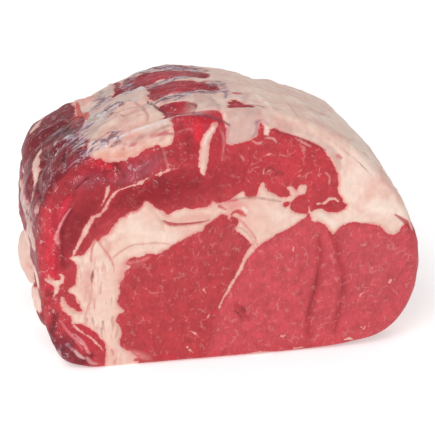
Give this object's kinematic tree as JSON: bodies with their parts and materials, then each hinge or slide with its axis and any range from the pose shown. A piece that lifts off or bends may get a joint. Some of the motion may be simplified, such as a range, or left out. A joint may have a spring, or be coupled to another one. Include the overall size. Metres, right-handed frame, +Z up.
{
  "type": "raw beef rib roast",
  "caption": "Boneless raw beef rib joint with a flat marbled cut face at the front, a thick fat cover on top and at the right, and a flat base to rest on.",
  "frame": {"origin": "middle of the bounding box, at the base that the roast rests on", "axes": "+X to the right across the cut face, +Y from the cut face to the back, +Z up"},
  "size_m": [0.2024, 0.1166, 0.1376],
  "materials": {
    "raw_beef": "moist raw beef: red lean with fine marbling, cream fat and thin silver film"
  },
  "bodies": {
    "root": {"roast": "raw_beef"}
  },
  "joints": []
}
